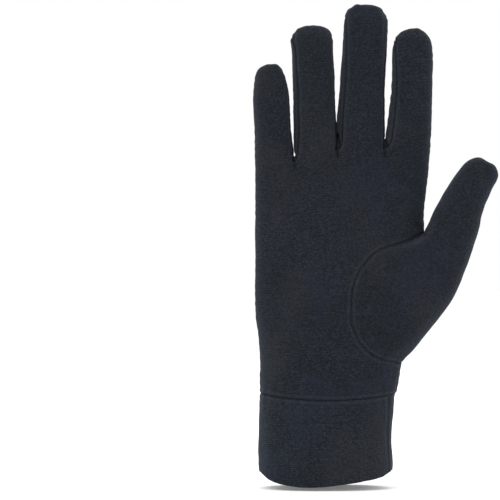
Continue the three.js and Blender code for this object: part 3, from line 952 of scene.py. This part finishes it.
WAVER = ((0.11, 0.9), (0.16, 0.8))  # how the knit wavers across and up: features per millimetre, and loops
LOOP_LEAN = 1.25  # how steeply the two legs of a loop stand
LOOP_RIDGE = (0.25, 0.25, 0.06)  # where a leg's ridge runs in a column, and how far its foot and top are from it


def weave_group():
    """Plain knit: columns of small V-shaped loops, a little uneven. Flat cloth in millimetres goes in."""
    group, start, end = node_group("knit_weave", ("Cloth", "Object"), ("Wale", "Course"), ("Height", "Courses"))
    split = feed(group, group.nodes.new("ShaderNodeSeparateXYZ"), {0: start.outputs["Cloth"]})
    counts = []
    for (scale, most), way, size in zip(WAVER, "XY", ("Wale", "Course")):
        waver = noise_node(group, start.outputs["Object"], scale, 2)
        waver = map_range(group, waver, 0, 1, -most, most, smooth=False)
        count = math_node(group, "DIVIDE", split[way], start.outputs[size])
        counts.append(math_node(group, "ADD", count, waver))
    rib = math_node(group, "PINGPONG", counts[0], 0.5)
    lean = math_node(group, "MULTIPLY", rib, LOOP_LEAN)
    loops = map_range(group, sine_node(group, math_node(group, "ADD", counts[1], lean)), -1, 1)
    middle, foot, top = LOOP_RIDGE
    height = math_node(group, "MULTIPLY", loops, map_range(group, apart_node(group, rib, middle), foot, top))
    feed(group, end, {"Height": height, "Courses": map_range(group, sine_node(group, counts[1]), -1, 1)})
    return group


# Slow changes over the cloth: the place that each follows, features per millimetre, detail, roughness, stretch,
# and the noise from which and to which its mask rises.
TONES = {
    "Cloud": ("Object", 0.045, 3, 0.55, (1, 1, 1), 0.3, 0.7),
    "Streak": ("Cloth", 1.0, 2, 0.6, (0.06, 0.95, 1), 0.3, 0.7),
    "Pills": ("Object", 0.8, 2, 0.65, (1, 1, 1.2), 0.32, 0.68),
    "Brown": ("Object", 0.028, 2, 0.5, (1.3, 1, 0.7), 0.47, 0.68),
    "Blue": ("Object", 0.034, 2, 0.5, (1, 1, 0.8), 0.48, 0.36),
}


def tone_group():
    """Slow changes of colour over the cloth: cloudy wear, streaked courses, and faint brown and blue tints."""
    group, start, end = node_group("cloth_tone", ("Object", "Cloth"), (), TONES)
    for title, (place, scale, detail, roughness, stretch, low, high) in TONES.items():
        change = noise_node(group, start.outputs[place], scale, detail, roughness, stretch)
        group.links.new(map_range(group, change, low, high), end.inputs[title])
    return group


LINT_CELLS = 0.75  # places for a speck to a millimetre
LINT_DOT = (0.17, 0.05)  # how far the edge and the full white of a speck are from its middle, in cells
LINT_SHARE = (0.90, 1.0)  # which of the cells' chance numbers give a speck
FUZZ = (1.9, 3, 0.7)  # features of the fuzz per millimetre, detail and roughness


def lint_group():
    """Tiny pale specks of lint and the fuzz between them."""
    group, start, end = node_group("lint_specks", ("Object",), (), ("Specks", "Fuzz"))
    place = start.outputs["Object"]
    cells = group.nodes.new("ShaderNodeTexVoronoi")
    cells = feed(group, cells, {"Scale": LINT_CELLS, "Randomness": 1, "Vector": place})
    chance = feed(group, group.nodes.new("ShaderNodeSeparateColor"), {0: cells["Color"]})[0]
    dot, some = map_range(group, cells["Distance"], *LINT_DOT), map_range(group, chance, *LINT_SHARE)
    specks = math_node(group, "MULTIPLY", dot, some)
    feed(group, end, {"Specks": specks, "Fuzz": noise_node(group, place, *FUZZ)})
    return group


# Marks beside a seam, in millimetres: where the dark join ends and is full, then the middle, end and full width
# of the painted highlight on the rolled edge and of the line of needle holes, and the holes' distance and shape.
JOIN_MARK = (0.9, 0.1)
EDGE_HIGHLIGHT_MARK = (1.5, 1.1, 0.1)
HOLE_MARK = (2.3, 0.42, 0.18)
HOLE_STEP = 2.1
HOLE_SHAPE = (0.1, 0.8)


def seam_group():
    """Masks beside a seam: the dark join, a painted highlight along the rolled edge and the needle holes along
    it.
    """
    group, start, end = node_group("seam_marks", (), ("Away", "Run"), ("Join", "Edge_highlight", "Stitch"))
    away = start.outputs["Away"]
    edge, line = [
        map_range(group, apart_node(group, away, middle), foot, full)
        for middle, foot, full in (EDGE_HIGHLIGHT_MARK, HOLE_MARK)
    ]
    beat = map_range(group, sine_node(group, start.outputs["Run"], HOLE_STEP), *HOLE_SHAPE)
    stitch = math_node(group, "MULTIPLY", beat, line)
    feed(group, end, {"Join": map_range(group, away, *JOIN_MARK), "Edge_highlight": edge, "Stitch": stitch})
    return group


GROUPS = {}


def use_group(tree, maker, **links):
    """Puts a shared group into a material, made the first time it is asked for."""
    if maker not in GROUPS:
        GROUPS[maker] = maker()
    node = tree.nodes.new("ShaderNodeGroup")
    node.node_tree = GROUPS[maker]
    return feed(tree, node, links)


def attribute_node(tree, name):
    """A number kept at the points of the mesh."""
    node = tree.nodes.new("ShaderNodeAttribute")
    node.attribute_name = name
    return node.outputs["Fac"]


def blend_colour(tree, mode, share, one, other):
    """Lays one colour over another: a share of it, as a number or a socket."""
    node = tree.nodes.new("ShaderNodeMix")
    node.data_type = "RGBA"
    node.blend_type = mode
    return feed(tree, node, {0: share, 6: one, 7: other})[2]


def bump(tree, height, strength, distance, normal):
    """Raises the surface by a height, on top of an earlier bump if there is one."""
    values = {"Strength": strength, "Distance": distance * MM, "Height": height}
    if normal:
        values["Normal"] = normal
    return feed(tree, tree.nodes.new("ShaderNodeBump"), values)["Normal"]


# The two knits: colours between and on the loops, the darker one being painted shade, and the width and height
# of a loop.
KNITS = {
    "knit": ((0.0022, 0.0037, 0.0062), (0.0159, 0.0203, 0.0265), 0.78, 0.92),
    "cuff_knit": ((0.0027, 0.0044, 0.0072), (0.0186, 0.0238, 0.0310), 0.86, 0.98),
}
GRAIN = (0.3, 0.72)  # the fuzz from which and to which the grain of the cloth rises
GRAIN_PARTS = (0.5, 0.5, 0.22)  # how much loops, grain and courses lighten the knit
SHADES = {"Cloud": (0.90, 1.08), "Streak": (0.93, 1.08), "Pills": (0.56, 1.42)}  # darkest and palest of each
# Tints laid over the knit, one after the other: how strong each is at most, and its colour.
TINTS = {
    "Brown": (0.18, (0.027, 0.0225, 0.0235)),
    "Blue": (0.26, (0.0125, 0.0135, 0.027)),
    # Painted shade between the fingers and in the creases below the forks, laid on as black.
    "Fork": (0.62, (0.0, 0.0, 0.0)),
    "Join": (0.45, (0.006, 0.0065, 0.008)),
    # Painted highlight along the rolled edge beside each seam.
    "Edge_highlight": (0.10, (0.06, 0.067, 0.08)),
    "Stitch": (0.22, (0.009, 0.01, 0.012)),
    "Specks": (0.5, (0.16, 0.17, 0.19)),
}
ROUGHNESS = (0.93, 0.78)  # between the grain and on it
SURFACE = {
    "Sheen Weight": 0.085, "Sheen Roughness": 0.42, "Sheen Tint": (0.62, 0.74, 0.95, 1),
    "Specular IOR Level": 0.12,
}
BUMPS = ((0.75, 0.16), (0.45, 0.10), (0.6, 0.22))  # strength and height of loops, grain and needle holes


def knit_material(name, dark, light, wale, course):
    """Fine stretch knit. Dark and light are the colours between and on the loops; the dark between them is
    painted shade.
    """
    material = bpy.data.materials.new(name)
    material.use_nodes = True
    tree = material.node_tree
    shader = tree.nodes["Principled BSDF"]
    place = tree.nodes.new("ShaderNodeVectorMath")
    place.operation = "SCALE"
    origin = tree.nodes.new("ShaderNodeTexCoord").outputs["Object"]
    place = feed(tree, place, {0: origin, "Scale": 1 / MM})[0]
    cloth = tree.nodes.new("ShaderNodeUVMap")
    cloth.uv_map = "cloth"
    cloth = cloth.outputs[0]
    weave = use_group(tree, weave_group, Cloth=cloth, Object=place, Wale=wale, Course=course)
    tone = use_group(tree, tone_group, Cloth=cloth, Object=place)
    lint = use_group(tree, lint_group, Object=place)
    seam = use_group(tree, seam_group, Away=attribute_node(tree, "seam"), Run=attribute_node(tree, "seam_run"))
    grain = map_range(tree, lint["Fuzz"], *GRAIN)
    loops = math_node(tree, "MULTIPLY", grain, GRAIN_PARTS[1])
    loops = math_node(tree, "MULTIPLY_ADD", weave["Height"], GRAIN_PARTS[0], loops)
    loops = math_node(tree, "MULTIPLY_ADD", weave["Courses"], GRAIN_PARTS[2], loops)
    # Painted shade: the knit is darker in the hollows between its loops.
    colour = blend_colour(tree, "MIX", loops, (*dark, 1), (*light, 1))
    shades = [map_range(tree, tone[title], 0, 1, *ends, smooth=False) for title, ends in SHADES.items()]
    shade = math_node(tree, "MULTIPLY", math_node(tree, "MULTIPLY", *shades[:2]), shades[2])
    grey = feed(tree, tree.nodes.new("ShaderNodeCombineColor"), {0: shade, 1: shade, 2: shade})
    colour = blend_colour(tree, "MULTIPLY", 1.0, colour, grey[0])
    masks = {"Fork": attribute_node(tree, "fork")}
    for outputs in (tone, seam, lint):
        masks.update(outputs.items())
    for title, (most, tint) in TINTS.items():
        share = math_node(tree, "MULTIPLY", masks[title], most)
        colour = blend_colour(tree, "MIX", share, colour, (*tint, 1))
    rough = map_range(tree, grain, 0, 1, *ROUGHNESS, smooth=False)
    normal = None
    holes = math_node(tree, "SUBTRACT", 1.0, seam["Stitch"])
    for height, (amount, distance) in zip((weave["Height"], grain, holes), BUMPS):
        normal = bump(tree, height, amount, distance, normal)
    feed(tree, shader, {"Base Color": colour, "Roughness": rough, "Normal": normal, **SURFACE})
    return material


def make_glove():
    """The seven knit pieces of the liner, with their materials, each in place of the solid of its name."""
    glove = glove_block()
    shape_block(glove)
    start_edit(glove)
    bpy.ops.mesh.remove_doubles(threshold=0.001 * MM)
    bpy.ops.mesh.normals_make_consistent(inside=False)
    bpy.ops.object.mode_set(mode="OBJECT")
    fine = glove.modifiers.new("fine", "SUBSURF")
    fine.levels = fine.render_levels = 3
    fine.uv_smooth = "PRESERVE_BOUNDARIES"
    bpy.ops.object.modifier_apply(modifier=fine.name)
    tree, points = wear_in(glove)
    knit, cuff_knit = [knit_material(name, *values) for name, values in KNITS.items()]
    for panel, part in cut_pieces(glove).items():
        turn_edge(part, panel, tree, points)
        wall_piece(part, panel)
        paint_fork_shade(part, panel)
        part.data.materials.clear()
        part.data.materials.append(cuff_knit if panel == CUFF else knit)
        for face in part.data.polygons:
            face.material_index = 0
        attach(part, "root")
        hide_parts(PIECES[panel])


# The photograph looks straight at the palm. The camera stands level, and its middle is left of the liner
# because the photograph's is.
LOOK_AT = (-0.0395, 0.0, 0.1233)
DISTANCE = 1.4444
LENS = 200
SENSOR = 36
LAMPS = {  # place, size and power
    "key_light": ((-0.9, -1.3, 1.5), 1.2, 16),
    "fill_light": ((1.3, -1.2, 0.9), 1.4, 5),
    "top_light": ((0.1, 0.3, 1.8), 1.6, 14),
}
LAMP_AIM = (0.02, 0, 0.12)
FLOOR_SIZE = 8
FLOOR_PLACE = (0, 2.6, -0.4 * MM)
FLOOR_SURFACE = {
    "Base Color": (0.86, 0.86, 0.86, 1), "Roughness": 0.9,
    "Emission Color": (1, 1, 1, 1), "Emission Strength": 0.15,
}


def pale_floor():
    """A plain pale floor under the liner, larger than the camera sees."""
    bpy.ops.object.select_all(action="DESELECT")
    bpy.ops.mesh.primitive_plane_add(size=FLOOR_SIZE, location=FLOOR_PLACE)
    floor = bpy.context.object
    floor.name = "floor"
    material = bpy.data.materials.new("pale_floor")
    material.use_nodes = True
    feed(material.node_tree, material.node_tree.nodes["Principled BSDF"], FLOOR_SURFACE)
    floor.data.materials.append(material)


def studio():
    """The floor, three soft lamps, a white world and the camera."""
    pale_floor()
    for name, (place, size, power) in LAMPS.items():
        bpy.ops.object.light_add(type="AREA", location=place)
        lamp = bpy.context.object
        lamp.name = name
        lamp.data.size = size
        lamp.data.energy = power
        lamp.rotation_euler = (Vector(LAMP_AIM) - Vector(place)).to_track_quat("-Z", "Y").to_euler()
    world = bpy.data.worlds.new("studio")
    world.use_nodes = True
    feed(world.node_tree, world.node_tree.nodes["Background"], {"Color": (1, 1, 1, 1), "Strength": 1.0})
    bpy.context.scene.world = world
    bpy.ops.object.camera_add(location=(LOOK_AT[0], -DISTANCE, LOOK_AT[2]), rotation=(math.pi / 2, 0, 0))
    camera = bpy.context.object
    camera.name = "camera"
    camera.data.lens = LENS
    camera.data.sensor_width = SENSOR
    bpy.context.scene.camera = camera
    bpy.context.scene.view_settings.view_transform = "Standard"


make_glove()
studio()
